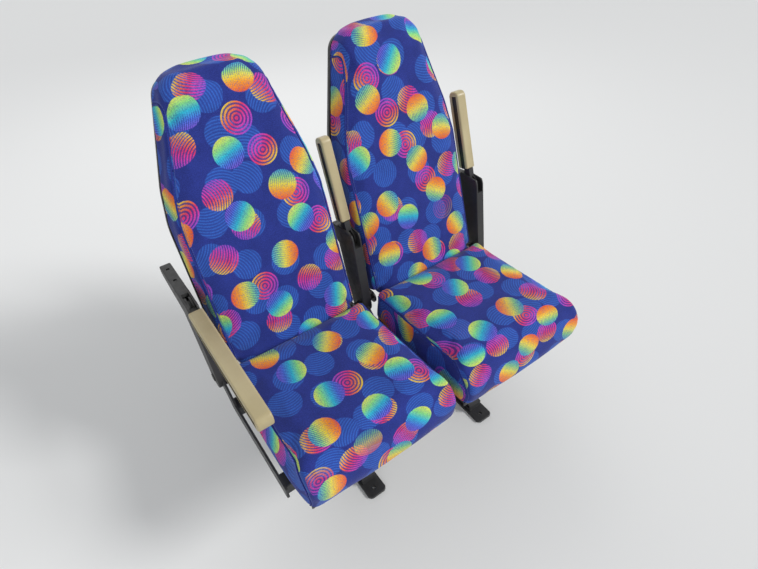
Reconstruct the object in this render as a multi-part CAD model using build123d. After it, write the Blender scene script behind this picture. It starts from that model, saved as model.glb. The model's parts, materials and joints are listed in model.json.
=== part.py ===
from build123d import *
import os
from math import asin, atan2, cos, radians, sin, sqrt

# A double passenger seat of a coach, with an aisle place, a window place and three armrests.
# Millimetres. The origin is on the floor, in the middle of the four floor bolts.
# +Z is up, the seat faces -Y, and +X is the window side.

# Places and the reclining backs
backs_gap = 40.0
side_gap = 5.0
junction_y = 150.0
junction_z = 450.0
back_lean = 18.0
back_height = 715.0
back_half_width = 216.0
shoulder_drop = 250.0
shoulder_step = 16.0
shoulder_round = 220.0
waist_drop = 340.0
waist_round = 260.0
top_step = 88.0
top_crown = 7.0
top_corner_r = 50.0
bottom_corner_r = 22.0
pad_depth = 74.0
pad_below = 20.0
pad_edge_r = 20.0
pad_roll_front = 34.0
pad_roll_rear = 24.0
tongue_inset = 30.0
tongue_below = 44.0
tongue_depth = 48.0
tongue_edge_r = 10.0
shell_inset = 8.0
shell_depth = 20.0
shell_wall = 3.0
bead_count = 3
bead_width = 12.0
bead_rise = 2.0
bead_edge_r = 1.8

# Recline hinge: how far the pin lies below the junction and behind the front face
recline_below = 45.0
recline_behind = 45.0
recline_pin_r = 8.0
recline_boss_r = 20.0
recline_pin_end = 2.0
hinge_thick = 5.0
hinge_inset = 16.0
hinge_height = 180.0
hinge_depth = 14.0
hinge_top_r = 5.0
hinge_heel_r = 12.0
hinge_under = 2.0
brace_width = 28.0
brace_depth = 12.0
brace_wall = 2.0
brace_height = 30.0

# Cushions and the pans below them
cushion_depth = 450.0
cushion_spread = 6.0
cushion_underside = 345.0
cushion_rise = 30.0
cushion_nose = 70.0
cushion_tuck = 14.0
cushion_edge_r = 18.0
cushion_gap = 5.0
pan_sheet = 3.0
pan_inset = 10.0
pan_setback = 30.0
pan_lip = 14.0
pan_slots = 3
pan_slot_width = 26.0
pan_slot_margin = 64.0

# Cross tubes, legs and feet
tube_size = 40.0
tube_wall = 3.0
tube_corner_r = 5.0
tube_front_y = -170.0
tube_rear_y = 105.0
tube_overhang = 28.0
leg_spacing = 440.0
leg_width = 44.0
leg_web = 5.0
leg_flange = 7.0
leg_waist_half = 58.0
leg_waist_z = 150.0
leg_toe = 24.0
leg_shoulder = 22.0
upper_hole_r = 32.0
lower_hole_r = 20.0
foot_length = 400.0
foot_width = 62.0
foot_thick = 8.0
foot_corner_r = 14.0
foot_edge_r = 2.0
toe_margin = 50.0
bolt_edge = 25.0
bolt_hole_r = 5.5

# Uprights: the steel plates between and beside the places
plate_thick = 6.0
plate_tube_r = 28.0
plate_margin = 5.0
plate_corner_r = 8.0
plate_boss_r = 26.0
plate_top_r = 17.0

# Armrests and the moulded housings that they turn in
arm_pivot_y = 228.0
arm_pivot_z = 617.0
arm_above = 28.0
arm_below = 12.0
arm_pad_start = 50.0
arm_pin_r = 7.0
ear_r = 26.0
ear_thick = 5.0
ear_gap = 0.5
arm_bar_half = 12.0
arm_bar_gap = 7.0
pad_top = 14.0
pad_bottom = 8.0
pad_tip = 14.0
pad_side_step = 1.5
pad_round = 5.0
tip_round = 16.0
arm_extra_aisle = 8.0
arm_extra_window = 4.0
housing_edge_r = 3.0
housing_foot_r = 34.0
housing_gap = 5.0
housing_drop = 13.0
housing_tail = 32.0
housing_tail_r = 13.0
housing_throat = 42.0
throat_front = 22.0
throat_rear = 27.0
pocket_gap = 1.0
screw_recesses = 2
screw_recess_r = 5.0
screw_recess_depth = 7.0
screw_recess_end = 36.0
screw_recess_pitch = 60.0

# Clearances, and how close two places count as one when edges are picked
pin_gap = 0.1
touch = 0.01

# Widths that follow the backs
seat_spacing = 2 * back_half_width + backs_gap
cushion_half_width = back_half_width + cushion_spread
housing_width = backs_gap - 2 * side_gap
arm_width_aisle = housing_width + arm_extra_aisle
upright_x = seat_spacing / 2 + back_half_width + side_gap + arm_width_aisle / 2

# The places: name and side (-1 aisle, +1 window)
places = [("aisle", -1), ("window", 1)]

# Uprights and armrests: name, x of the middle, arm width, arm length, angle at rest, tail of housing
raised = 90 + back_lean
stations = [
    ("aisle", -upright_x, arm_width_aisle, 430.0, 0.0, 192.0),
    ("centre", 0.0, housing_width, 290.0, raised, 78.0),
    ("window", upright_x, housing_width + arm_extra_window, 290.0, raised, 78.0),
]

# Derived places
bolt_spacing = foot_length - 2 * bolt_edge
lean_sin = sin(radians(back_lean))
lean_cos = cos(radians(back_lean))
tube_top = cushion_underside - pan_sheet
tube_mid = tube_top - tube_size / 2
tube_bottom = tube_top - tube_size
housing_r = arm_pad_start - housing_gap
ear_half = plate_thick / 2 + ear_gap + ear_thick


def back_point(behind, up):
    """A point (y, z) by its distance behind the back's front face and up along it."""
    return (junction_y + behind * lean_cos + up * lean_sin,
            junction_z - behind * lean_sin + up * lean_cos)


def lean_back(x_middle, shape):
    """Takes a shape drawn on the back's upright front face to its leaning place."""
    return Pos(x_middle, 0, 0) * (back_plane * shape)


recline_y, recline_z = back_point(recline_behind, -recline_below)
cushion_rear = back_point(-cushion_gap, -tongue_below - cushion_gap)
back_plane = Plane(origin=(0, junction_y, junction_z), x_dir=(-1, 0, 0), z_dir=(0, lean_cos, -lean_sin))


def slab(face, x_middle, width):
    """A face drawn in the YZ plane, given a width about x_middle."""
    return extrude(Plane.YZ.offset(x_middle - width / 2) * face, width)


def disc(centre, r):
    return Pos(centre[0], centre[1]) * Circle(r)


def link(start, start_r, end, end_r):
    """Two round ends joined by their outer tangents."""
    dy, dz = end[0] - start[0], end[1] - start[1]
    along = atan2(dz, dy)
    swing = asin((start_r - end_r) / sqrt(dy * dy + dz * dz))
    corners = []
    for centre, r, side in [(start, start_r, 1), (end, end_r, 1), (end, end_r, -1), (start, start_r, -1)]:
        turn = along + side * (radians(90) - swing)
        corners.append((centre[0] + r * cos(turn), centre[1] + r * sin(turn)))
    return make_face(Polyline(*corners, close=True)) + disc(start, start_r) + disc(end, end_r)


def rim_edges(body, x_middle, width):
    """The edges round the two side faces of a slab."""
    return [e for e in body.edges() if abs(abs(e.center().X - x_middle) - width / 2) < touch]


def save(name, solid):
    export_step(solid, "parts/" + name + ".step")


# Feet: a plate with two bolt holes, below each leg
def foot():
    plate = extrude(RectangleRounded(foot_width, foot_length, foot_corner_r), foot_thick)
    plate = fillet(plate.faces().sort_by(Axis.Z)[-1].edges(), foot_edge_r)
    for y in (-bolt_spacing / 2, bolt_spacing / 2):
        plate -= Pos(0, y) * Cylinder(bolt_hole_r, 4 * foot_thick)
    return plate


# Legs: a waisted I-section with a web, cut by two lightening holes
def leg_outline(inset):
    """The leg's side outline, or the same drawn further in for the pockets beside the web."""
    toe = foot_length / 2 - toe_margin - inset
    front = tube_front_y - tube_overhang + inset
    rear = tube_rear_y + tube_overhang - inset
    shoulder = tube_bottom - leg_shoulder + inset
    instep = foot_thick + leg_toe - inset
    low, high = foot_thick + inset, tube_bottom - inset
    foot_line = Polyline((-toe, instep), (-toe, low), (toe, low), (toe, instep))
    head_line = Polyline((front, shoulder), (front, high), (rear, high), (rear, shoulder))
    edges = [*foot_line.edges(), *head_line.edges()]
    for side, hip in ((-1, front), (1, rear)):
        waist = (side * (leg_waist_half - inset), leg_waist_z)
        edges.append(TangentArc(waist, (side * toe, instep), tangent=(0, -1)).edge())
        edges.append(TangentArc(waist, (hip, shoulder), tangent=(0, 1)).edge())
    return make_face(edges)


def leg():
    pocket_depth = (leg_width - leg_web) / 2
    body = slab(leg_outline(0), 0, leg_width)
    for side in (-1, 1):
        body -= slab(leg_outline(leg_flange), side * (leg_width + leg_web) / 4, pocket_depth)
    middle_y = (tube_front_y + tube_rear_y) / 2
    body -= slab(disc((middle_y, (leg_waist_z + tube_bottom) / 2), upper_hole_r), 0, leg_width)
    body -= slab(disc((0, (leg_waist_z + foot_thick) / 2), lower_hole_r), 0, leg_width)
    return body


# Cross tubes: they carry the pans and end at the outer uprights
def cross_tube(y):
    ring = Pos(y, tube_mid) * (RectangleRounded(tube_size, tube_size, tube_corner_r)
                               - RectangleRounded(tube_size - 2 * tube_wall, tube_size - 2 * tube_wall,
                                                  tube_corner_r - tube_wall))
    return slab(ring, 0, 2 * upright_x - plate_thick)


# Uprights: a rail along the tubes, a riser with the recline pins, and the arm pin at its top
def plate_outline():
    rail_length = tube_rear_y - tube_front_y + 2 * tube_overhang
    rail = RectangleRounded(rail_length, tube_size + 2 * plate_margin, plate_corner_r)
    rail = Pos((tube_front_y + tube_rear_y) / 2, tube_mid) * rail
    lower = link((tube_rear_y, tube_mid), plate_tube_r, (recline_y, recline_z), plate_boss_r)
    upper = link((recline_y, recline_z), plate_boss_r, (arm_pivot_y, arm_pivot_z), plate_top_r)
    return rail + lower + upper


def recline_pins(x_middle):
    """Pins from an upright to the hinge plates beside it."""
    hinge_out = seat_spacing / 2 + back_half_width - hinge_inset
    hinge_in = seat_spacing / 2 - back_half_width + hinge_inset
    reach = hinge_thick + recline_pin_end
    if x_middle == 0:
        spans = [(-hinge_in - reach, hinge_in + reach)]
    elif x_middle < 0:
        spans = [(x_middle, -hinge_out + reach)]
    else:
        spans = [(hinge_out - reach, x_middle)]
    return [slab(disc((recline_y, recline_z), recline_pin_r), (low + high) / 2, high - low) for low, high in spans]


def upright(x_middle):
    body = slab(plate_outline(), x_middle, plate_thick)
    for pin in recline_pins(x_middle):
        body += pin
    body += slab(disc((arm_pivot_y, arm_pivot_z), arm_pin_r), x_middle, 2 * ear_half)
    if x_middle == 0:
        for y in (tube_front_y, tube_rear_y):
            hole = Pos(y, tube_mid) * RectangleRounded(tube_size, tube_size, tube_corner_r)
            body -= slab(hole, 0, plate_thick)
    return body


# Housings: a black moulding round each riser, with a tail behind the arm and a pocket for its ears
def housing_outline(tail):
    tail_y = arm_pivot_y + tail
    top_z = arm_pivot_z + arm_above
    stem = link((arm_pivot_y, arm_pivot_z), housing_r, (recline_y, recline_z), housing_foot_r)
    limb = make_face(Polyline((arm_pivot_y, top_z), (tail_y, top_z - housing_drop),
                              (tail_y, top_z - housing_drop - housing_tail),
                              (arm_pivot_y + throat_rear, arm_pivot_z - housing_throat),
                              (arm_pivot_y - throat_front, arm_pivot_z - housing_throat), close=True))
    tail_corners = [v for v in limb.vertices() if v.X > tail_y - touch]
    outline = stem + fillet(tail_corners, housing_tail_r)
    above = Pos(arm_pivot_y, top_z + housing_r) * Rectangle(4 * housing_r, 2 * housing_r)
    return outline - above


def arm_pocket():
    """The space that an arm's ears and bar sweep through, from lowered to raised."""
    low = arm_bar_half + pocket_gap
    reach = 2 * housing_r
    corner = (low - low * lean_sin) / lean_cos
    high = (low + reach * lean_sin) / lean_cos
    sweep = make_face(Polyline((-reach, -low), (corner, -low), (high, reach), (-reach, reach), close=True))
    return Pos(arm_pivot_y, arm_pivot_z) * (sweep + Circle(ear_r + 2 * pocket_gap))


def housing(x_middle, tail):
    body = slab(housing_outline(tail), x_middle, housing_width)
    body = fillet(rim_edges(body, x_middle, housing_width), housing_edge_r)
    body -= slab(plate_outline(), x_middle, plate_thick)
    body -= slab(disc((recline_y, recline_z), recline_pin_r + pin_gap), x_middle, housing_width)
    body -= slab(arm_pocket(), x_middle, 2 * (ear_half + pocket_gap))
    for step in range(screw_recesses):
        behind = tail - screw_recess_end - step * screw_recess_pitch
        if behind > housing_r:
            top = arm_pivot_z + arm_above - housing_drop * behind / tail
            bore = Cylinder(screw_recess_r, 2 * screw_recess_depth)
            body -= Pos(x_middle, arm_pivot_y + behind, top) * bore
    return body


# Pans: pressed sheets with lips, set over the tubes
def pan(x_middle):
    half = cushion_half_width - pan_inset
    rear = cushion_rear[0]
    front = junction_y - cushion_depth + pan_setback
    sheet = Pos((front + rear) / 2, cushion_underside - pan_sheet / 2) * Rectangle(rear - front, pan_sheet)
    for y in (front + pan_sheet / 2, rear - pan_sheet / 2):
        sheet += Pos(y, cushion_underside - pan_lip / 2) * Rectangle(pan_sheet, pan_lip)
    body = slab(sheet, x_middle, 2 * half)
    between = tube_rear_y - tube_front_y - tube_size
    slot = extrude(SlotOverall(2 * (half - pan_slot_margin), pan_slot_width), pan_lip, both=True)
    for step in range(pan_slots):
        y = tube_front_y + tube_size / 2 + between * (step + 0.5) / pan_slots
        body -= Pos(x_middle, y, cushion_underside) * slot
    return body


# Cushions: a side profile with a rounded nose
def cushion(x_middle):
    front = junction_y - cushion_depth
    rear_top = back_point(-cushion_gap, 0)
    nose_z = junction_z + cushion_rise
    over = Polyline((cushion_rear[0], cushion_underside), cushion_rear, rear_top, (front + cushion_nose, nose_z))
    shoulder = cushion_nose * (1 - sqrt(0.5))
    nose = ThreePointArc(over @ 1, (front + shoulder, nose_z - shoulder), (front, nose_z - cushion_nose))
    under = Polyline(nose @ 1, (front + cushion_tuck, cushion_underside), over @ 0)
    profile = make_face([*over.edges(), nose.edge(), *under.edges()])
    body = slab(profile, x_middle, 2 * cushion_half_width)
    rims = rim_edges(body, x_middle, 2 * cushion_half_width)
    return fillet([e for e in rims if e.center().Z > cushion_underside + touch], cushion_edge_r)


# Backs: a tapered outline with a crowned top, a pad in front and a moulded shell behind
def back_outline(inset, below):
    half = back_half_width - inset
    top = back_height - top_crown - inset
    corners = [
        (half - top_step, top, top_corner_r),
        (half - shoulder_step, back_height - shoulder_drop, shoulder_round),
        (half, back_height - waist_drop, waist_round),
        (half, -below, bottom_corner_r),
    ]
    right = [(x, w) for x, w, r in corners]
    left = [(-x, w) for x, w in reversed(right)]
    crown = ThreePointArc(left[-1], (0, top + top_crown), right[0])
    outline = make_face([crown.edge(), *Polyline(*right, *left).edges()])
    for x, w, r in corners:
        ends = [v for v in outline.vertices() if abs(abs(v.X) - x) < touch and abs(v.Y - w) < touch]
        outline = fillet(ends, r)
    return outline


def pad_section():
    """The pad's section from front to rear, with a top that rolls over."""
    section = make_face(Polyline(
        back_point(0, -tongue_below), back_point(0, back_height),
        back_point(pad_depth, back_height), back_point(pad_depth, -tongue_below), close=True))
    for behind, r in ((0, pad_roll_front), (pad_depth, pad_roll_rear)):
        y, z = back_point(behind, back_height)
        section = fillet([v for v in section.vertices() if abs(v.X - y) + abs(v.Y - z) < touch], r)
    return section


def pad_tongue():
    """The pad's lower end, which tucks in behind the cushion and between the hinge plates."""
    length = 2 * tongue_below
    tongue = extrude(Rectangle(2 * (back_half_width - tongue_inset), length), tongue_depth)
    lower = tongue.edges().group_by(Axis.Y)[0]
    return fillet(lower, tongue_edge_r)


def back_pad(x_middle):
    body = extrude(back_outline(0, pad_below), pad_depth)
    front = body.faces().sort_by(Axis.Z)[0]
    body = fillet(front.edges(), pad_edge_r) + pad_tongue()
    return lean_back(x_middle, body) & slab(pad_section(), x_middle, 2 * back_half_width)


def back_shell(x_middle):
    outer = extrude(back_outline(shell_inset, pad_below - shell_inset), shell_depth)
    rear = outer.faces().sort_by(Axis.Z)[-1]
    outer = fillet(rear.edges(), shell_depth / 2)
    inner = extrude(back_outline(shell_inset + shell_wall, pad_below + shell_depth), shell_depth - shell_wall)
    body = outer - inner
    bead = extrude(SlotOverall(back_height - waist_drop, bead_width, rotation=90), shell_wall / 2 + bead_rise)
    bead = fillet(bead.faces().sort_by(Axis.Z)[-1].edges(), bead_edge_r)
    pitch = 2 * (back_half_width - top_step) / (bead_count + 1)
    for step in range(bead_count):
        x = pitch * (step - (bead_count - 1) / 2)
        body += Pos(x, back_height / 2, shell_depth - shell_wall / 2) * bead
    return lean_back(x_middle, Pos(0, 0, pad_depth) * body)


# Hinge plates: a boss at the recline pin, a heel, and a blade up behind the pad, joined by a brace
def hinge_outline():
    rear = pad_depth + hinge_depth
    heel = (rear - hinge_heel_r, -pad_below - hinge_under - hinge_heel_r)
    arm = link((recline_y, recline_z), recline_boss_r, back_point(*heel), hinge_heel_r)
    corners = [(pad_depth, heel[1]), (rear, heel[1]), (rear, hinge_height), (pad_depth, hinge_height)]
    blade = make_face(Polyline(*[back_point(*corner) for corner in corners], close=True))
    blade = fillet(blade.vertices().sort_by(Axis.Y)[-2:], hinge_top_r)
    return arm + blade - disc((recline_y, recline_z), recline_pin_r + pin_gap)


def hinge_plate(x_middle):
    return slab(hinge_outline(), x_middle, hinge_thick)


def brace(x_middle):
    length = 2 * (back_half_width - hinge_inset - hinge_thick)
    tube = Box(length, brace_width, brace_depth)
    tube -= Box(length, brace_width - 2 * brace_wall, brace_depth - 2 * brace_wall)
    return lean_back(x_middle, Pos(0, brace_height, pad_depth + brace_depth / 2) * tube)


# Armrests, drawn lowered with the pin at the origin, then turned to their place
def arm_core(width, length):
    half = width / 2 - pad_side_step
    bar_start = plate_top_r + arm_bar_gap
    bar = Pos(-arm_pad_start / 2, 0) * Rectangle(arm_pad_start, 2 * arm_bar_half) - Circle(bar_start)
    start, end = arm_pad_start, length - pad_tip
    low, high = pad_bottom - arm_below, arm_above - pad_top
    spine = Pos(-(start + end) / 2, (low + high) / 2) * Rectangle(end - start, high - low)
    body = slab(bar, 0, 2 * ear_half) + slab(spine, 0, 2 * half)
    ear = Circle(ear_r) - Circle(arm_pin_r + pin_gap)
    for side in (-1, 1):
        body += slab(ear, side * (ear_half - ear_thick / 2), ear_thick)
    return body


def arm_pad(width, length):
    blank = Pos(-(arm_pad_start + length) / 2, (arm_above - arm_below) / 2) * Rectangle(
        length - arm_pad_start, arm_above + arm_below)
    tip = [v for v in blank.vertices() if v.X < -length + touch]
    body = slab(fillet(tip, tip_round), 0, width)
    body = fillet(rim_edges(body, 0, width), pad_round)
    start, end = arm_pad_start - pad_side_step, length - pad_tip
    low, high = pad_bottom - arm_below, arm_above - pad_top
    channel = Pos(-(start + end) / 2, (low + high) / 2) * Rectangle(end - start, high - low)
    return body - slab(channel, 0, width)


def arm_place(x_middle, turn):
    return Pos(x_middle, arm_pivot_y, arm_pivot_z) * Rot(-turn, 0, 0)


os.makedirs("parts", exist_ok=True)

for name, side in places:
    x_leg = side * leg_spacing / 2
    x_seat = side * seat_spacing / 2
    x_hinge = back_half_width - hinge_inset - hinge_thick / 2
    save("foot_" + name, Pos(x_leg, 0, 0) * foot())
    save("leg_" + name, Pos(x_leg, 0, 0) * leg())
    save("pan_" + name, pan(x_seat))
    save("cushion_" + name, cushion(x_seat))
    save("back_pad_" + name, back_pad(x_seat))
    save("back_shell_" + name, back_shell(x_seat))
    save("brace_" + name, brace(x_seat))
    save("hinge_outer_" + name, hinge_plate(x_seat + side * x_hinge))
    save("hinge_inner_" + name, hinge_plate(x_seat - side * x_hinge))

save("tube_front", cross_tube(tube_front_y))
save("tube_rear", cross_tube(tube_rear_y))

for name, x_middle, width, length, turn, tail in stations:
    save("upright_" + name, upright(x_middle))
    save("housing_" + name, housing(x_middle, tail))
    save("arm_core_" + name, arm_place(x_middle, turn) * arm_core(width, length))
    save("arm_pad_" + name, arm_place(x_middle, turn) * arm_pad(width, length))
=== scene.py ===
import json
from math import atan2, copysign, cos, exp, pi, radians, sqrt

import bmesh
import bpy
from mathutils import Matrix, Vector
from mathutils.bvhtree import BVHTree
from mathutils.kdtree import KDTree
from mathutils.noise import noise as field


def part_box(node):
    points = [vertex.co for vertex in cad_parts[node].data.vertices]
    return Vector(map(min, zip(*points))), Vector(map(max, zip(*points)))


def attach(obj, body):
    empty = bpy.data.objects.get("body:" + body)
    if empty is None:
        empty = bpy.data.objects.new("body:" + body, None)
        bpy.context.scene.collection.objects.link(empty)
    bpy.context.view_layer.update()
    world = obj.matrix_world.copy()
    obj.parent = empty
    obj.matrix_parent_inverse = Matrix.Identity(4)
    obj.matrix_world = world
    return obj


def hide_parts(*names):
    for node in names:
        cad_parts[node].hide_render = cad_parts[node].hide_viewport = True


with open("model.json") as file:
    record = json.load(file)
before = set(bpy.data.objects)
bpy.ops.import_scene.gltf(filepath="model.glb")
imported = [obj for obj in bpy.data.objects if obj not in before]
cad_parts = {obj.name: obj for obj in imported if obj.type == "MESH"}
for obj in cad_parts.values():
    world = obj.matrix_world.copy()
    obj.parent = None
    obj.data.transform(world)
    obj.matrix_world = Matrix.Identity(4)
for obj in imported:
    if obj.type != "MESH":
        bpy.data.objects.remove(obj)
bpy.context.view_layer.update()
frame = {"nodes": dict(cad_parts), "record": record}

scene = bpy.context.scene

BACK_LEAN = radians(18.0)
NEAR = 1e-4
WELD = 1e-6
SHARP = radians(35)

# Camera: the photograph's viewpoint and lens, stepped back so that the legs show too
PHOTO_WIDTH = 758
FOCAL_PIXELS = 517.3
SENSOR = 36.0
VIEWPOINT = Vector((-0.565, -0.742, 1.477))
BACKS_MIDDLE = Vector((0.0, 0.28, 0.80))
LOOK_AT = Vector((-0.055, 0.0, 0.625))
STEP_BACK = 1.07
CAMERA_ROLL = radians(-2.24)

# Filling: how far it swells a back's front, the sides and a cushion's faces, and draws in the ends
SWELL = 0.007
SIDE_SWELL = SWELL * 0.4
CUSHION_SWELL = SWELL * 0.5
DRAW_IN = 0.006

# Back: its outline from the top down, its rounded edges, and the tongue at its lower end
TOP_CROWN = 0.007
CROWN_DEPTH = 0.07
TOP_STEP = 0.088
SHOULDER_STEP = 0.016
SHOULDER_DROP = 0.250
WAIST_DROP = 0.340
SHOULDER_ROUND = 0.048
FRONT_ROLL, FRONT_ROUND = 0.034, 0.020
REAR_ROLL, REAR_ROUND = 0.024, 0.012
REAR_SETBACK = 0.001
TONGUE_INSET = 0.030
TONGUE_DROP = 0.024
TONGUE_DEPTH = 0.048
TONGUE_RELIEF = 0.001
TONGUE_TOP = 0.034
TONGUE_ROUND = 0.010

# Cushion: its nose, its side edges, and its rear end, which is cut back below the knee
NOSE_R = 0.068
NOSE_TUCK = 0.014
SIDE_ROUND = 0.018
REAR_ZONE = 0.03
REAR_KNEE = 0.405
REAR_STEP = 0.015
REAR_FULLNESS = 0.0095

# Cloth simulation: mesh size, length, pressure, the most it may move, rounds of softening, depths held still
VOXEL = 0.0065
SIM_FRAMES = 20
SIM_PRESSURE = 4.0
SIM_CAP = 0.012
SOFTENING = 7
BACK_HELD = 0.006
CUSHION_HELD = 0.005

# Seams: where they run on a back and on a cushion, and how their corners bend
SEAM_STEP = 0.004
SEAM_ACROSS = 0.018
SEAM_BEHIND = 0.004
SEAM_START = 0.002
SEAM_TURN = 0.070
SEAM_END = 0.003
SHOULDER_SEAM = 0.060
BEND_POINTS = 12
SEAM_BEND = 0.04
TURN_BEND = 0.03
SEAM_INSET = 0.015
NOSE_SEAM_DROP = 0.080
NOSE_SEAM_REACH = 0.074
NOSE_BEND = 0.045
CUSHION_SEAM_END = 0.004

# Sewing: the groove, the puckers beside it, the slight looseness of the cloth, the piping and the stitches
GROOVE_DEPTH = 0.0022
GROOVE_WIDTH = 0.0042
PUCKER = 0.0010
PUCKER_SPREAD = 5
PUCKER_SCALE = 60.0
LOOSENESS = 0.0011
LOOSE_SCALE = 11.0
WELT_R = 0.0024
WELT_PROUD = WELT_R * 0.6
THREAD = 0.0013
STITCH_OFFSET = 0.0065
STITCH_WIDTH = 0.0012
STITCH_PITCH = 0.0050

# Cutting: which part of the cloth each panel is cut from, and where a surface starts to face sideways
CLOTH_SHIFTS = {"aisle": 0.0, "window": 0.37}
CUSHION_SHIFT = 0.55
BACK_SIDE_SHIFT = 0.83
CUSHION_SIDE_SHIFT = 0.47
FACING_START = 0.6
FACING_SPAN = 0.3

# Small fittings: sizes, and where the screws and the recline pin lie, as y and z
SCREW_R = 0.0043
SCREW_HEIGHT = 0.0030
SCREW_EDGE = SCREW_HEIGHT * 0.5
SOCKET_RIM = SCREW_R * 0.12
SOCKET_R = SCREW_R * 0.5
SOCKET_DEPTH = SCREW_HEIGHT * 0.6
SCREW_PLACES = {"screw_front": (0.324, 0.6315), "screw_rear": (0.384, 0.6274)}
PLUG_R = 0.0125
PLUG_HEIGHT = 0.0035
PLUG_EDGE = PLUG_HEIGHT * 0.8
PLUG_RIM = PLUG_R * 0.25
PLUG_DISH = PLUG_HEIGHT * 0.3
RECLINE_PIN = (0.178892, 0.393297)

# Armrest pads: the arms' pin, their slant at rest, the end beside the pin, and the faces above and below it
ARM_PIN = Vector((0.0, 0.228, 0.617))
ARM_SLANTS = {"aisle": 0.0, "centre": radians(-108), "window": radians(-108)}
ARM_CAP_START = 0.050
ARM_CAP_UPPER = (0.014, 0.028)
ARM_CAP_LOWER = (-0.004, -0.012)
ARM_CAP_ROUND = 0.0045


# Helpers for modelling
def only(obj):
    bpy.ops.object.select_all(action="DESELECT")
    obj.select_set(True)
    bpy.context.view_layer.objects.active = obj


def start_edit(obj):
    only(obj)
    bpy.ops.object.mode_set(mode="EDIT")


def end_edit():
    bpy.ops.object.mode_set(mode="OBJECT")


def pick(obj, kind, test):
    """Selects the vertices, edges or faces of a mesh in edit mode that pass a test."""
    bpy.ops.mesh.select_mode(type=kind)
    mesh = bmesh.from_edit_mesh(obj.data)
    for item in (*mesh.faces, *mesh.edges, *mesh.verts):
        item.select = False
    items = {"VERT": mesh.verts, "EDGE": mesh.edges, "FACE": mesh.faces}[kind]
    for item in items:
        if test(item):
            item.select_set(True)
    bmesh.update_edit_mesh(obj.data)


def fix_place():
    """Writes the selected object's place, turn and size into its mesh."""
    bpy.ops.object.transform_apply(location=True, rotation=True, scale=True)


def block(name, low, high):
    """A box between two corners, with its place in its mesh."""
    bpy.ops.object.select_all(action="DESELECT")
    bpy.ops.mesh.primitive_cube_add(size=1, location=(low + high) / 2, scale=high - low)
    obj = bpy.context.object
    obj.name = name
    fix_place()
    return obj


def apply_modifiers(obj):
    only(obj)
    for modifier in list(obj.modifiers):
        bpy.ops.object.modifier_apply(modifier=modifier.name)


def joined(*objs):
    """One object of several. The first keeps its name."""
    bpy.ops.object.select_all(action="DESELECT")
    for obj in objs:
        obj.select_set(True)
    bpy.context.view_layer.objects.active = objs[0]
    bpy.ops.object.join()
    return objs[0]


def settle(obj, location=(0, 0, 0), turn=(0, 0, 0)):
    """Puts a piece in its place and writes the place into its mesh."""
    obj.location = location
    obj.rotation_euler = turn
    only(obj)
    fix_place()


def copy_piece(obj, name):
    twin = obj.copy()
    twin.data = obj.data.copy()
    twin.name = name
    scene.collection.objects.link(twin)
    return twin


def leaning_box(node):
    """A node's lowest and highest corner in the back's own upright frame."""
    upright = Matrix.Rotation(BACK_LEAN, 3, "X")
    points = [upright @ v.co for v in frame["nodes"][node].data.vertices]
    low = Vector([min(p[i] for p in points) for i in range(3)])
    high = Vector([max(p[i] for p in points) for i in range(3)])
    return low, high


# Soft goods
def remesh(obj, size):
    modifier = obj.modifiers.new("even", "REMESH")
    modifier.mode = "VOXEL"
    modifier.voxel_size = size
    apply_modifiers(obj)


def inflate(obj, held):
    """Blows the cover out like foam under cloth, with the held side kept where it is."""
    rest = [v.co.copy() for v in obj.data.vertices]
    pinned = obj.vertex_groups.new(name="held")
    pinned.add([i for i, p in enumerate(rest) if held(p)], 1.0, "REPLACE")
    modifier = obj.modifiers.new("cloth", "CLOTH")
    settings = modifier.settings
    settings.quality = 5
    settings.mass = 0.3
    settings.tension_stiffness = 12.0
    settings.compression_stiffness = 12.0
    settings.shear_stiffness = 5.0
    settings.bending_stiffness = 1.5
    settings.use_pressure = True
    settings.uniform_pressure_force = SIM_PRESSURE
    settings.vertex_group_mass = pinned.name
    settings.effector_weights.gravity = 0.0
    modifier.point_cache.frame_start = 1
    modifier.point_cache.frame_end = SIM_FRAMES
    for step in range(1, SIM_FRAMES + 1):
        scene.frame_set(step)
    blown = obj.evaluated_get(bpy.context.evaluated_depsgraph_get()).data
    moved = [v.co.copy() for v in blown.vertices]
    obj.modifiers.remove(modifier)
    obj.vertex_groups.clear()
    scene.frame_set(1)
    for vertex, old, new in zip(obj.data.vertices, rest, moved):
        step = new - old
        if step.length > SIM_CAP:
            step *= SIM_CAP / step.length
        vertex.co = old + step


def relax(obj, rounds):
    """Softens creases, as cloth over foam has none away from its seams."""
    start_edit(obj)
    bpy.ops.mesh.select_all(action="SELECT")
    bpy.ops.mesh.vertices_smooth(factor=0.5, repeat=rounds)
    end_edit()


def refine(obj):
    modifier = obj.modifiers.new("smooth", "SUBSURF")
    modifier.levels = modifier.render_levels = 1
    apply_modifiers(obj)
    only(obj)
    bpy.ops.object.shade_smooth()


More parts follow.
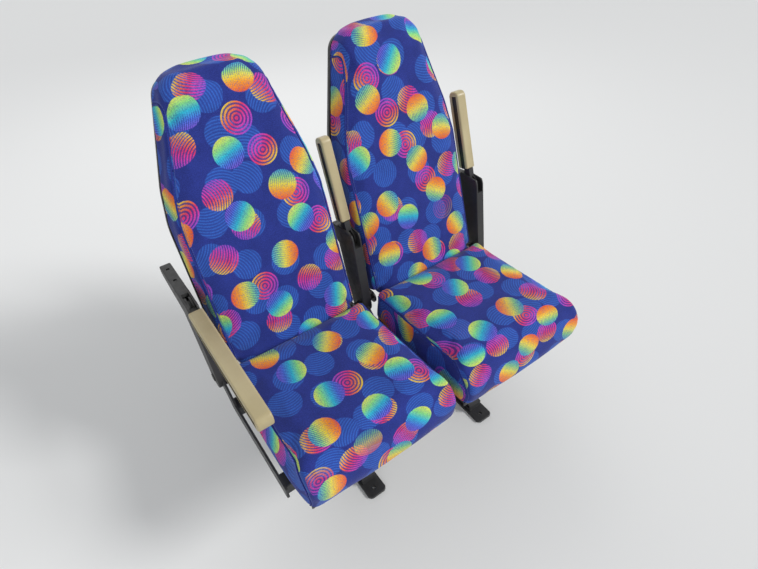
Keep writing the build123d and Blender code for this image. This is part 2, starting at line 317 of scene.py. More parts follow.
def back_form():
    """The back's padding before it is filled: a tapered block with rounded shoulders and a rolled top."""
    low, high = leaning_box("back_pad_aisle")
    half = (high.x - low.x) / 2 - SIDE_SWELL
    front, rear, top = low.y + SWELL, high.y - REAR_SETBACK, high.z + DRAW_IN - TOP_CROWN
    bottom = low.z + TONGUE_DROP - DRAW_IN
    obj = block("back_cover_aisle", Vector((-half, front, bottom)), Vector((half, rear, top)))
    waist, shoulder = high.z - WAIST_DROP, high.z - SHOULDER_DROP
    start_edit(obj)
    for level in (waist, shoulder):
        bpy.ops.mesh.select_all(action="SELECT")
        bpy.ops.mesh.bisect(plane_co=(0, 0, level), plane_no=(0, 0, 1))
    for level, step in ((shoulder, SHOULDER_STEP), (top, TOP_STEP)):
        pick(obj, "VERT", lambda v: abs(v.co.z - level) < NEAR)
        bpy.ops.transform.resize(value=(1 - step / half, 1, 1), center_override=(0, 0, 0))
    pick(obj, "EDGE", lambda e: all(abs(v.co.z - top) < NEAR for v in e.verts)
         and abs(e.verts[0].co.x - e.verts[1].co.x) < NEAR)
    bpy.ops.mesh.bevel(offset=SHOULDER_ROUND, segments=7, affect="EDGES")
    for face_y, rolled, edge in ((front, FRONT_ROLL, FRONT_ROUND), (rear, REAR_ROLL, REAR_ROUND)):
        pick(obj, "EDGE", lambda e: all(
            abs(v.co.y - face_y) < NEAR and abs(v.co.z - top) < NEAR for v in e.verts))
        bpy.ops.mesh.bevel(offset=rolled, segments=7, affect="EDGES")
        pick(obj, "EDGE", lambda e: all(
            abs(v.co.y - face_y) < NEAR and v.co.z < top - 10 * NEAR for v in e.verts)
            and any(abs(f.normal.y) < 0.9 for f in e.link_faces))
        bpy.ops.mesh.bevel(offset=edge, segments=4, affect="EDGES")
    end_edit()
    return joined(obj, tongue_form(low, half - TONGUE_INSET))


def tongue_form(low, half):
    """The padding's lower end, which tucks in behind the cushion."""
    front, bottom = low.y + TONGUE_RELIEF, low.z - DRAW_IN
    obj = block("tongue", Vector((-half, front, bottom)),
                Vector((half, low.y + TONGUE_DEPTH, low.z + TONGUE_TOP)))
    start_edit(obj)
    pick(obj, "EDGE", lambda e: all(v.co.z < bottom + NEAR for v in e.verts))
    bpy.ops.mesh.bevel(offset=TONGUE_ROUND, segments=4, affect="EDGES")
    end_edit()
    return obj


def crown_top(obj, top, half):
    """Lifts the middle of a back's top edge into a shallow arch."""
    for vertex in obj.data.vertices:
        near_top = min(max(1 - (top - vertex.co.z) / CROWN_DEPTH, 0.0), 1.0)
        across = max(1 - (vertex.co.x / half) ** 2, 0.0)
        vertex.co.z += TOP_CROWN * across * near_top ** 2


def cushion_form():
    """The cushion's padding before it is filled: a wedge with a rounded nose, cut back at its rear."""
    low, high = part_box("cushion_aisle")
    half, top = (high.x - low.x) / 2 - SIDE_SWELL, high.z - CUSHION_SWELL
    obj = block("cushion_cover_aisle", Vector((-half, low.y + CUSHION_SWELL, low.z)),
                Vector((half, high.y + REAR_FULLNESS, top)))
    start_edit(obj)
    pick(obj, "VERT", lambda v: v.co.z > top - NEAR and v.co.y > 0)
    bpy.ops.transform.translate(value=(0, 0, rear_top(high) - top))
    bpy.ops.mesh.select_all(action="SELECT")
    bpy.ops.mesh.bisect(plane_co=(0, 0, REAR_KNEE), plane_no=(0, 0, 1))
    pick(obj, "VERT", lambda v: v.co.z < REAR_KNEE + NEAR and v.co.y > 0)
    bpy.ops.transform.translate(value=(0, -REAR_STEP, 0))
    pick(obj, "VERT", lambda v: v.co.z < low.z + NEAR and v.co.y < 0)
    bpy.ops.transform.translate(value=(0, NOSE_TUCK, 0))
    pick(obj, "EDGE", lambda e: all(v.co.z > top - NEAR and v.co.y < 0 for v in e.verts))
    bpy.ops.mesh.bevel(offset=NOSE_R, segments=8, affect="EDGES")
    pick(obj, "EDGE", lambda e: all(abs(abs(v.co.x) - half) < NEAR for v in e.verts)
         and any(abs(f.normal.x) < 0.5 for f in e.link_faces)
         and any(v.co.z > low.z + 10 * NEAR for v in e.verts))
    bpy.ops.mesh.bevel(offset=SIDE_ROUND, segments=4, affect="EDGES")
    end_edit()
    return obj


def rear_top(high):
    """The height of the cushion's top at its rear edge."""
    mesh = frame["nodes"]["cushion_aisle"].data
    return max(v.co.z for v in mesh.vertices if v.co.y > high.y - REAR_ZONE) - CUSHION_SWELL


def soft_piece(obj, held):
    remesh(obj, VOXEL)
    inflate(obj, held)
    relax(obj, SOFTENING)
    refine(obj)
    return obj


def smooth_path(corners):
    """Even points along a path whose corners are rounded: a corner is a place and its rounding."""
    points = [corners[0][0]]
    for (before, _), (here, rounding), (after, _) in zip(corners, corners[1:], corners[2:]):
        into = here + (before - here).normalized() * rounding
        out = here + (after - here).normalized() * rounding
        shares = [i / BEND_POINTS for i in range(BEND_POINTS + 1)]
        points += [into.lerp(here, t).lerp(here.lerp(out, t), t) for t in shares]
    points.append(corners[-1][0])
    even = []
    for start, end in zip(points, points[1:]):
        count = max(1, round((end - start).length / SEAM_STEP))
        even += [start.lerp(end, i / count) for i in range(count)]
    return even + [points[-1]]


def lay_on(obj, points):
    """The nearest place on a mesh to each point, with the surface's normal there."""
    tree = BVHTree.FromPolygons([v.co for v in obj.data.vertices], [p.vertices for p in obj.data.polygons])
    return [tree.find_nearest(p)[:2] for p in points]


def press_seams(obj, seams):
    """Presses a sewn groove along the left and the right seam, with slight puckers beside it.

    Each point keeps how far it lies from the nearest seam as "gap", along it as "along", and past it onto the
    side panel as "inside".
    """
    places, tangents, sideways, lengths = [], [], [], []
    for side, seam in zip((-1, 1), seams):
        points = [place for place, normal in seam]
        ends = zip([points[0], *points], [*points[1:], points[-1]])
        run = 0.0
        for (place, normal), (before, after) in zip(seam, ends):
            tangent = (after - before).normalized()
            run += (place - before).length
            places.append(place)
            tangents.append(tangent)
            sideways.append(tangent.cross(normal) * side)
            lengths.append(run)
    near = KDTree(len(places))
    for index, place in enumerate(places):
        near.insert(place, index)
    near.balance()
    obj.data.update()
    normals = [v.normal.copy() for v in obj.data.vertices]
    gaps, along, inside = [], [], []
    for vertex, normal in zip(obj.data.vertices, normals):
        place, index, distance = near.find(vertex.co)
        offset = vertex.co - place
        gaps.append(distance)
        along.append(lengths[index] + offset.dot(tangents[index]))
        inside.append(offset.dot(sideways[index]))
        groove = exp(-((distance / GROOVE_WIDTH) ** 2))
        pucker = exp(-((distance / (PUCKER_SPREAD * GROOVE_WIDTH)) ** 2))
        ripple = field(vertex.co * PUCKER_SCALE) * PUCKER * pucker
        loose = field(vertex.co * LOOSE_SCALE) * LOOSENESS
        vertex.co += normal * (ripple + loose - GROOVE_DEPTH * groove)
    for name, values in (("gap", gaps), ("along", along), ("inside", inside)):
        obj.data.attributes.new(name, "FLOAT", "POINT").data.foreach_set("value", values)


def add_welt(name, seam):
    """A cord of the same cloth, sewn into a seam, as a tube along it."""
    line = bpy.data.curves.new(name, "CURVE")
    line.dimensions = "3D"
    spline = line.splines.new("NURBS")
    spline.points.add(len(seam) - 1)
    for point, (place, normal) in zip(spline.points, seam):
        point.co = (*(place + normal * (WELT_PROUD - GROOVE_DEPTH)), 1.0)
    spline.order_u = 4
    spline.use_endpoint_u = True
    spline.resolution_u = 1
    line.bevel_depth = WELT_R
    line.bevel_resolution = 2
    line.use_fill_caps = True
    welt = bpy.data.objects.new(name, line)
    scene.collection.objects.link(welt)
    only(welt)
    bpy.ops.object.convert(target="MESH")
    bpy.ops.object.shade_smooth()
    return welt


def lay_fabric(obj, front, side):
    """Two UV maps in metres, for the front or top panel and for the side panels."""
    for name, lay in (("fabric", front), ("side", side)):
        flat = [lay(vertex.co, vertex.normal) for vertex in obj.data.vertices]
        uvs = [number for loop in obj.data.loops for number in flat[loop.vertex_index]]
        obj.data.uv_layers.new(name=name).data.foreach_set("uv", uvs)


def sideways_share(normal):
    """How far a surface faces to a side, from 0 to 1."""
    return min(max((abs(normal.x) - FACING_START) / FACING_SPAN, 0.0), 1.0)


def front_cloth(p, normal, front_y, shift):
    """A back's front panel, whose cloth rolls over the top and turns round the sides."""
    behind = p.y - front_y
    turned = behind * sideways_share(normal)
    return shift + p.x + copysign(turned, p.x), p.z + behind - turned


def top_cloth(p, normal, front_y, top, slope, shift):
    """A cushion's top panel, whose cloth rolls over the nose and turns down at the sides."""
    behind = p.y - front_y
    turned = min(top - slope * behind - p.z, behind) * sideways_share(normal)
    return shift + p.x + copysign(turned, p.x), p.y - (top - p.z)


def side_cloth(p, shift):
    """The side panels' cloth: upright, round the front edge, and mirrored from one side to the other."""
    return shift + copysign(p.y + abs(p.x), p.x), p.z


# Sizes of the fine patterns, in features to the metre, and how far the discs stray from an even grid
DISC_SCATTER = 0.42
FUZZ_SCALE = 900.0
DRIFT_SCALE = 14.0
GRAIN_SCALE = 420.0
YARN_SCALE = 700.0
SCUFF_SCALE = 130.0
PATCH_SCALE = 9.0
RUB_SCALE = 60.0


# Shader helpers
def new_group(name, inputs, outputs):
    group = bpy.data.node_groups.new(name, "ShaderNodeTree")
    for label, kind, value in inputs:
        socket = group.interface.new_socket(label, in_out="INPUT", socket_type=kind)
        if value is not None:
            socket.default_value = value
    for label, kind in outputs:
        group.interface.new_socket(label, in_out="OUTPUT", socket_type=kind)
    return group, group.nodes.new("NodeGroupInput"), group.nodes.new("NodeGroupOutput")


def math_node(tree, operation, first, second=None, third=None):
    node = tree.nodes.new("ShaderNodeMath")
    node.operation = operation
    for index, value in enumerate((first, second, third)):
        if value is None:
            continue
        if isinstance(value, (int, float)):
            node.inputs[index].default_value = value
        else:
            tree.links.new(value, node.inputs[index])
    return node.outputs[0]


def mix_colour(tree, factor, first, second):
    """One colour over another. A Mix node's two colours are its inputs 6 and 7, and its output 2."""
    node = tree.nodes.new("ShaderNodeMix")
    node.data_type = "RGBA"
    for socket, value in ((node.inputs["Factor"], factor), (node.inputs[6], first), (node.inputs[7], second)):
        if isinstance(value, bpy.types.NodeSocket):
            tree.links.new(value, socket)
        else:
            socket.default_value = value
    return node.outputs[2]


def smooth_step(tree, value, low, high, out_low=0.0, out_high=1.0):
    node = tree.nodes.new("ShaderNodeMapRange")
    node.interpolation_type = "SMOOTHSTEP"
    for label, number in (("From Min", low), ("From Max", high), ("To Min", out_low), ("To Max", out_high)):
        node.inputs[label].default_value = number
    tree.links.new(value, node.inputs["Value"])
    return node.outputs["Result"]


def noise(tree, vector, scale, detail=3.0, roughness=0.55):
    node = tree.nodes.new("ShaderNodeTexNoise")
    node.inputs["Scale"].default_value = scale
    node.inputs["Detail"].default_value = detail
    node.inputs["Roughness"].default_value = roughness
    tree.links.new(vector, node.inputs["Vector"])
    return node


def ramp(tree, value, stops):
    node = tree.nodes.new("ShaderNodeValToRGB")
    elements = node.color_ramp.elements
    while len(elements) < len(stops):
        elements.new(0.5)
    for element, (place, colour) in zip(elements, stops):
        element.position = place
        element.color = (*colour, 1.0)
    tree.links.new(value, node.inputs["Fac"])
    return node.outputs["Color"]


def disc_group():
    """Scattered discs on a cloth: a mask, the place across, along and out from a centre, and two chances."""
    group, given, made = new_group(
        "scattered_discs",
        [("Cloth", "NodeSocketVector", None), ("Pitch", "NodeSocketFloat", 0.12),
         ("Radius", "NodeSocketFloat", 0.038), ("Turn", "NodeSocketFloat", 0.0),
         ("Shift", "NodeSocketVector", None)],
        [("Disc", "NodeSocketFloat"), ("Across", "NodeSocketFloat"), ("Along", "NodeSocketFloat"),
         ("Out", "NodeSocketFloat"), ("Pick", "NodeSocketFloat"), ("Second Pick", "NodeSocketFloat")])
    links = group.links
    turn = group.nodes.new("ShaderNodeVectorRotate")
    turn.rotation_type = "Z_AXIS"
    links.new(given.outputs["Cloth"], turn.inputs["Vector"])
    links.new(given.outputs["Turn"], turn.inputs["Angle"])
    scaled = group.nodes.new("ShaderNodeVectorMath")
    scaled.operation = "SCALE"
    links.new(turn.outputs[0], scaled.inputs[0])
    links.new(math_node(group, "DIVIDE", 1.0, given.outputs["Pitch"]), scaled.inputs["Scale"])
    shifted = group.nodes.new("ShaderNodeVectorMath")
    shifted.operation = "ADD"
    links.new(scaled.outputs[0], shifted.inputs[0])
    links.new(given.outputs["Shift"], shifted.inputs[1])
    cells = group.nodes.new("ShaderNodeTexVoronoi")
    cells.voronoi_dimensions = "2D"
    cells.feature = "F1"
    cells.inputs["Scale"].default_value = 1.0
    cells.inputs["Randomness"].default_value = DISC_SCATTER
    links.new(shifted.outputs[0], cells.inputs["Vector"])
    offset = group.nodes.new("ShaderNodeVectorMath")
    offset.operation = "SUBTRACT"
    links.new(shifted.outputs[0], offset.inputs[0])
    links.new(cells.outputs["Position"], offset.inputs[1])
    chance = group.nodes.new("ShaderNodeSeparateColor")
    links.new(cells.outputs["Color"], chance.inputs[0])
    spin = group.nodes.new("ShaderNodeVectorRotate")
    spin.rotation_type = "Z_AXIS"
    links.new(offset.outputs[0], spin.inputs["Vector"])
    links.new(math_node(group, "MULTIPLY", chance.outputs[0], 2 * pi), spin.inputs["Angle"])
    relative = group.nodes.new("ShaderNodeVectorMath")
    relative.operation = "SCALE"
    links.new(spin.outputs[0], relative.inputs[0])
    enlarged = math_node(group, "DIVIDE", given.outputs["Pitch"], given.outputs["Radius"])
    links.new(enlarged, relative.inputs["Scale"])
    parts = group.nodes.new("ShaderNodeSeparateXYZ")
    links.new(relative.outputs[0], parts.inputs[0])
    away = math_node(group, "MULTIPLY", cells.outputs["Distance"], enlarged)
    links.new(smooth_step(group, away, 0.97, 1.0, 1.0, 0.0), made.inputs["Disc"])
    links.new(parts.outputs[0], made.inputs["Across"])
    links.new(parts.outputs[1], made.inputs["Along"])
    links.new(away, made.inputs["Out"])
    links.new(chance.outputs[1], made.inputs["Pick"])
    links.new(chance.outputs[2], made.inputs["Second Pick"])
    return group


def pile_group():
    """The short woven pile of a seat cloth: the relief of its weave and fuzz, and its uneven shade."""
    group, given, made = new_group(
        "woven_pile", [("Cloth", "NodeSocketVector", None), ("Thread", "NodeSocketFloat", 0.0014)],
        [("Relief", "NodeSocketFloat"), ("Shade", "NodeSocketFloat")])
    parts = group.nodes.new("ShaderNodeSeparateXYZ")
    group.links.new(given.outputs["Cloth"], parts.inputs[0])
    turns = math_node(group, "DIVIDE", 2 * pi, given.outputs["Thread"])
    weft = math_node(group, "SINE", math_node(group, "MULTIPLY", parts.outputs[0], turns))
    warp = math_node(group, "SINE", math_node(group, "MULTIPLY", parts.outputs[1], turns))
    weave = math_node(group, "MULTIPLY", weft, warp)
    fuzz = noise(group, given.outputs["Cloth"], FUZZ_SCALE, 2.0)
    relief = math_node(group, "ADD", math_node(group, "MULTIPLY", weave, 0.25), fuzz.outputs["Fac"])
    group.links.new(relief, made.inputs["Relief"])
    drift = noise(group, given.outputs["Cloth"], DRIFT_SCALE, 4.0, 0.6)
    grain = noise(group, given.outputs["Cloth"], GRAIN_SCALE, 2.0, 0.7)
    both = math_node(group, "ADD", math_node(group, "MULTIPLY", drift.outputs["Fac"], 0.35),
                     math_node(group, "MULTIPLY", grain.outputs["Fac"], 0.65))
    group.links.new(both, made.inputs["Shade"])
    return group


def wear_and_highlight_group():
    """Where edges and corners lie, broken up by scuffs: edges that are worn and also carry a painted
    highlight.
    """
    group, given, made = new_group(
        "edge_wear", [("Place", "NodeSocketVector", None), ("Width", "NodeSocketFloat", 0.0012)],
        [("Wear", "NodeSocketFloat")])
    rounded = group.nodes.new("ShaderNodeBevel")
    rounded.samples = 4
    group.links.new(given.outputs["Width"], rounded.inputs["Radius"])
    plain = group.nodes.new("ShaderNodeNewGeometry")
    turn = group.nodes.new("ShaderNodeVectorMath")
    turn.operation = "DOT_PRODUCT"
    group.links.new(rounded.outputs[0], turn.inputs[0])
    group.links.new(plain.outputs["Normal"], turn.inputs[1])
    edge = smooth_step(group, turn.outputs["Value"], 0.80, 0.98, 1.0, 0.0)
    marks = noise(group, given.outputs["Place"], SCUFF_SCALE, 4.0, 0.6)
    scuffs = smooth_step(group, marks.outputs["Fac"], 0.42, 0.62)
    group.links.new(math_node(group, "MULTIPLY", edge, scuffs), made.inputs["Wear"])
    return group


def new_material(name, base, roughness):
    material = bpy.data.materials.new(name)
    material.use_nodes = True
    tree = material.node_tree
    shader = tree.nodes["Principled BSDF"]
    shader.inputs["Base Color"].default_value = (*base, 1.0)
    shader.inputs["Roughness"].default_value = roughness
    return material, tree, shader


def bump(tree, shader, height, strength, distance):
    node = tree.nodes.new("ShaderNodeBump")
    node.inputs["Strength"].default_value = strength
    node.inputs["Distance"].default_value = distance
    tree.links.new(height, node.inputs["Height"])
    tree.links.new(node.outputs[0], shader.inputs["Normal"])


DISCS = disc_group()
PILE = pile_group()
WEAR_AND_HIGHLIGHT = wear_and_highlight_group()

# Layers of discs on the cloth: pitch, radius, turn and shift
FAINT_DISCS = (0.100, 0.040, 0.35, (3.2, 7.7, 0.0))
LINED_DISCS = (0.119, 0.0385, 1.15, (11.4, 2.6, 0.0))
BRIGHT_DISCS = (0.122, 0.0385, -0.55, (5.1, 14.3, 0.0))
# Shares of the discs: lined ones and bright ones left out, barred and not ringed, warm and not cool
LINED_MISSING = 0.09
BRIGHT_MISSING = 0.13
BARRED = 0.60
WARM = 0.55
# Lines and gaps to a disc's radius, and how far they bend
FAINT_LINES, FAINT_BEND = 11, 0.35
RING_LINES = 9
BAR_LINES, BAR_BEND = 11, -0.4
COMB_LINES, COMB_BEND = 15, 0.3

# Cloth colours, as scene-linear values
GROUND = (0.030, 0.052, 0.330)
GROUND_DEEP = (0.010, 0.018, 0.150)
STITCH = (0.10, 0.14, 0.42)
FAINT = (0.040, 0.160, 0.640)
SUNSET = [(0.0, (0.85, 0.10, 0.02)), (0.30, (0.95, 0.36, 0.02)), (0.52, (0.92, 0.78, 0.05)),
          (0.74, (0.35, 0.80, 0.20)), (1.0, (0.03, 0.42, 0.75))]
LAGOON = [(0.0, (0.80, 0.85, 0.10)), (0.28, (0.25, 0.75, 0.25)), (0.50, (0.03, 0.55, 0.70)),
          (0.75, (0.08, 0.20, 0.80)), (1.0, (0.25, 0.10, 0.70))]
BLOSSOM = [(0.0, (0.92, 0.72, 0.04)), (0.22, (0.95, 0.24, 0.02)), (0.46, (0.85, 0.04, 0.12)),
           (0.70, (0.75, 0.05, 0.40)), (1.0, (0.30, 0.08, 0.65))]


def add_discs(tree, cloth, pitch, radius, turn, shift):
    node = tree.nodes.new("ShaderNodeGroup")
    node.node_tree = DISCS
    node.inputs["Pitch"].default_value = pitch
    node.inputs["Radius"].default_value = radius
    node.inputs["Turn"].default_value = turn
    node.inputs["Shift"].default_value = shift
    tree.links.new(cloth, node.inputs["Cloth"])
    return node.outputs


def stripes(tree, place, count, share):
    """Parallel lines across a disc, as a mask."""
    wave = math_node(tree, "SINE", math_node(tree, "MULTIPLY", place, pi * count))
    return smooth_step(tree, wave, share - 0.25, share + 0.25)


def beyond(tree, pick, share):
    """A mask of the discs that are left once a share of them, by their random numbers, is taken away."""
    return smooth_step(tree, pick, share - 0.01, share + 0.01)


def cloth_places(tree, inside):
    """The cloth's own coordinates, which change at the seam from the front panel's to the side panels'.

    A Mix node's two vectors are its inputs 4 and 5, and its output 1.
    """
    maps = []
    for name in ("fabric", "side"):
        node = tree.nodes.new("ShaderNodeUVMap")
        node.uv_map = name
        maps.append(node.outputs["UV"])
    panel = tree.nodes.new("ShaderNodeMix")
    panel.data_type = "VECTOR"
    tree.links.new(math_node(tree, "GREATER_THAN", inside, 0.0), panel.inputs["Factor"])
    tree.links.new(maps[0], panel.inputs[4])
    tree.links.new(maps[1], panel.inputs[5])
    return panel.outputs[1]


def named_value(tree, name):
    node = tree.nodes.new("ShaderNodeAttribute")
    node.attribute_name = name
    return node.outputs["Fac"]


def snapped(tree, vector, step):
    """A vector in whole threads, so that drawn edges follow the weave."""
    node = tree.nodes.new("ShaderNodeVectorMath")
    node.operation = "SNAP"
    node.inputs[1].default_value = (step, step, step)
    tree.links.new(vector, node.inputs[0])
    return node.outputs[0]


def curved(tree, disc, bend):
    """The place along a disc, bent so that lines drawn by it are arcs."""
    square = math_node(tree, "MULTIPLY", disc["Across"], disc["Across"])
    return math_node(tree, "MULTIPLY_ADD", square, bend, disc["Along"])


def moquette():
    """Royal blue cloth with discs: faint ones, lined or ringed ones, and bright ones on top."""
    material, tree, shader = new_material("moquette", GROUND, 0.85)
    links = tree.links
    inside, gap, along = (named_value(tree, name) for name in ("inside", "gap", "along"))
    cloth = cloth_places(tree, inside)
    threads = snapped(tree, cloth, THREAD)
    pile = tree.nodes.new("ShaderNodeGroup")
    pile.node_tree = PILE
    links.new(cloth, pile.inputs["Cloth"])
    pile.inputs["Thread"].default_value = THREAD
    ground = mix_colour(tree, pile.outputs["Shade"], (*GROUND_DEEP, 1), (*GROUND, 1))

    faint = add_discs(tree, threads, *FAINT_DISCS)
    lines = stripes(tree, curved(tree, faint, FAINT_BEND), FAINT_LINES, 0.1)
    veil = math_node(tree, "MULTIPLY", faint["Disc"], math_node(tree, "MULTIPLY_ADD", lines, 0.5, 0.25))
    colour = mix_colour(tree, veil, ground, (*FAINT, 1))

    lined = add_discs(tree, threads, *LINED_DISCS)
    place = math_node(tree, "MULTIPLY_ADD", lined["Across"], 0.5, 0.5)
    rings = stripes(tree, lined["Out"], RING_LINES, 0.0)
    bars = stripes(tree, curved(tree, lined, BAR_BEND), BAR_LINES, 0.0)
    ringed = beyond(tree, lined["Pick"], BARRED)
    drawn = math_node(tree, "ADD", math_node(tree, "MULTIPLY", rings, ringed),
                      math_node(tree, "MULTIPLY", bars, math_node(tree, "SUBTRACT", 1.0, ringed)))
    drawn = math_node(tree, "MULTIPLY_ADD", drawn, 0.85, 0.15)
    shown = math_node(tree, "MULTIPLY", lined["Disc"], beyond(tree, lined["Second Pick"], LINED_MISSING))
    colour = mix_colour(tree, math_node(tree, "MULTIPLY", drawn, shown), colour, ramp(tree, place, BLOSSOM))

    bright = add_discs(tree, threads, *BRIGHT_DISCS)
    place = math_node(tree, "MULTIPLY_ADD", bright["Across"], 0.5, 0.5)
    cool = beyond(tree, bright["Pick"], WARM)
    rainbow = mix_colour(tree, cool, ramp(tree, place, SUNSET), ramp(tree, place, LAGOON))
    combed = math_node(tree, "MULTIPLY", stripes(tree, curved(tree, bright, COMB_BEND), COMB_LINES, 0.2),
                       smooth_step(tree, bright["Across"], -0.4, 0.8, 0.08, 0.92))
    rainbow = mix_colour(tree, combed, rainbow, (*GROUND, 1))
    shown = math_node(tree, "MULTIPLY", bright["Disc"], beyond(tree, bright["Second Pick"], BRIGHT_MISSING))
    colour = mix_colour(tree, shown, colour, rainbow)

    # Single threads of the ground that surface all over, then the stitches beside the seam
    speck = tree.nodes.new("ShaderNodeTexWhiteNoise")
    speck.noise_dimensions = "2D"
    links.new(threads, speck.inputs["Vector"])
    sunk = smooth_step(tree, speck.outputs["Value"], 0.80, 0.82, 0.0, 0.55)
    colour = mix_colour(tree, sunk, colour, (*GROUND, 1))
    row = smooth_step(tree, math_node(tree, "ABSOLUTE", math_node(tree, "SUBTRACT", gap, STITCH_OFFSET)),
                      STITCH_WIDTH * 0.4, STITCH_WIDTH * 0.6, 1.0, 0.0)
    row = math_node(tree, "MULTIPLY", row, math_node(tree, "LESS_THAN", inside, 0.0))
    dash = smooth_step(tree, math_node(tree, "FRACT", math_node(tree, "DIVIDE", along, STITCH_PITCH)),
                       0.66, 0.74, 1.0, 0.0)
    stitch = math_node(tree, "MULTIPLY", row, dash)
    colour = mix_colour(tree, stitch, colour, (*STITCH, 1))

    shade = smooth_step(tree, pile.outputs["Shade"], 0.3, 0.7, 0.74, 1.10)
    # Beside the seams the cloth is made up to 12% lighter: partly worn pile, partly painted sheen.
    rubbed_and_highlit = smooth_step(tree, gap, 0.003, 0.016, 1.12, 1.0)
    toned = tree.nodes.new("ShaderNodeHueSaturation")
    links.new(colour, toned.inputs["Color"])
    links.new(math_node(tree, "MULTIPLY", shade, rubbed_and_highlit), toned.inputs["Value"])
    links.new(toned.outputs[0], shader.inputs["Base Color"])
    shader.inputs["Sheen Weight"].default_value = 0.12
    shader.inputs["Sheen Roughness"].default_value = 0.5
    shader.inputs["Specular IOR Level"].default_value = 0.2
    raised = math_node(tree, "MULTIPLY_ADD", stitch, 0.8, pile.outputs["Relief"])
    bump(tree, shader, raised, 0.35, 0.0006)
    return material


def hard_finish(name, base, dark, worn_and_highlit, roughness, grain, relief):
    """A moulding or a coating: a base and a second tone, a fine grain, handling marks, and edges lightened by
    wear and by a painted highlight.
    """
    material, tree, shader = new_material(name, base, roughness)
    where = tree.nodes.new("ShaderNodeTexCoord").outputs["Object"]
    patch = noise(tree, where, PATCH_SCALE, 4.0)
    tone = mix_colour(tree, smooth_step(tree, patch.outputs["Fac"], 0.35, 0.7), (*base, 1), (*dark, 1))
    wear_and_highlight = tree.nodes.new("ShaderNodeGroup")
    wear_and_highlight.node_tree = WEAR_AND_HIGHLIGHT
    tree.links.new(where, wear_and_highlight.inputs["Place"])
    # Edges and corners are lightened: partly wear, partly a painted highlight.
    rubbed_and_highlit = math_node(tree, "MULTIPLY", wear_and_highlight.outputs["Wear"], 0.6)
    tree.links.new(mix_colour(tree, rubbed_and_highlit, tone, (*worn_and_highlit, 1)), shader.inputs["Base Color"])
    rub = noise(tree, where, RUB_SCALE, 5.0, 0.65)
    sheen = smooth_step(tree, rub.outputs["Fac"], 0.3, 0.75, roughness - 0.06, roughness + 0.1)
    tree.links.new(sheen, shader.inputs["Roughness"])
    bump(tree, shader, noise(tree, where, grain, 2.0).outputs["Fac"], relief, 0.0004)
    return material


def welting():
    """The plain cloth of the piping in the seams."""
    material, tree, shader = new_material("welting", GROUND_DEEP, 0.85)
    where = tree.nodes.new("ShaderNodeTexCoord").outputs["Object"]
    thread = noise(tree, where, YARN_SCALE, 2.0)
    tone = smooth_step(tree, thread.outputs["Fac"], 0.35, 0.65)
    tree.links.new(mix_colour(tree, tone, (*GROUND_DEEP, 1), (*GROUND, 1)), shader.inputs["Base Color"])
    shader.inputs["Sheen Weight"].default_value = 0.12
    shader.inputs["Specular IOR Level"].default_value = 0.2
    bump(tree, shader, thread.outputs["Fac"], 0.5, 0.0005)
    return material


MOQUETTE = moquette()
WELTING = welting()
# Each finish's third colour is that of its edges: worn, and with a painted highlight.
BEIGE = hard_finish("beige_moulding", base=(0.50, 0.42, 0.24), dark=(0.44, 0.365, 0.20),
                    worn_and_highlit=(0.60, 0.53, 0.36), roughness=0.38, grain=1300.0, relief=0.12)
BLACK = hard_finish("black_moulding", base=(0.020, 0.020, 0.022), dark=(0.030, 0.029, 0.028),
                    worn_and_highlit=(0.075, 0.073, 0.070), roughness=0.50, grain=1500.0, relief=0.35)
STEEL = hard_finish("black_steel", base=(0.028, 0.028, 0.030), dark=(0.019, 0.019, 0.020),
                    worn_and_highlit=(0.14, 0.135, 0.13), roughness=0.46, grain=260.0, relief=0.08)
ZINC = hard_finish("zinc_plate", base=(0.42, 0.42, 0.41), dark=(0.30, 0.30, 0.29), worn_and_highlit=(0.55, 0.55, 0.54),
                   roughness=0.32, grain=400.0, relief=0.05)


def paint(obj, material):
    obj.data.materials.clear()
    obj.data.materials.append(material)


# Finishes of the CAD nodes
FINISHES = {"moquette": MOQUETTE, "beige_moulding": BEIGE, "black_moulding": BLACK, "black_steel": STEEL}
for entry in frame["record"]["subparts"]:
    node = frame["nodes"][entry["node"]]
    node.data.materials.clear()
    node.data.materials.append(FINISHES[entry["material_slot"]])
    only(node)
    bpy.ops.object.shade_smooth_by_angle(angle=SHARP)


# Backs and cushions
def back_seam_corners(low, high, side):
    """Up the front beside its edge, then round the shoulder and rearward."""
    half, top, y = (high.x - low.x) / 2, high.z, low.y + SEAM_BEHIND
    slope = (TOP_STEP - SHOULDER_STEP) / SHOULDER_DROP
    level, edge = top - SHOULDER_SEAM, half - TOP_STEP + slope * SHOULDER_SEAM
    return [(Vector((side * (half - SEAM_ACROSS), y, low.z + TONGUE_DROP + SEAM_START)), 0),
            (Vector((side * (half - SEAM_ACROSS), y, top - WAIST_DROP)), SEAM_BEND),
            (Vector((side * (half - SHOULDER_STEP - SEAM_ACROSS), y, top - SHOULDER_DROP)), SEAM_BEND),
            (Vector((side * (edge + slope * SEAM_TURN - SEAM_ACROSS), y, level - SEAM_TURN)), TURN_BEND),
            (Vector((side * edge, y, level)), SEAM_BEND),
            (Vector((side * edge, high.y - SEAM_END, level)), 0)]


def cushion_seam_corners(low, high, side):
    """Up a side behind the nose, then rearward below the top edge."""
    x, rear_z = side * (high.x - low.x) / 2, rear_top(high)
    return [(Vector((x, low.y + SEAM_INSET + NOSE_TUCK, low.z + CUSHION_SEAM_END)), 0),
            (Vector((x, low.y + SEAM_INSET, high.z - NOSE_SEAM_DROP)), NOSE_BEND),
            (Vector((x, low.y + NOSE_SEAM_REACH, high.z - SEAM_INSET)), NOSE_BEND),
            (Vector((x, high.y - CUSHION_SEAM_END, rear_z - SEAM_INSET)), 0)]


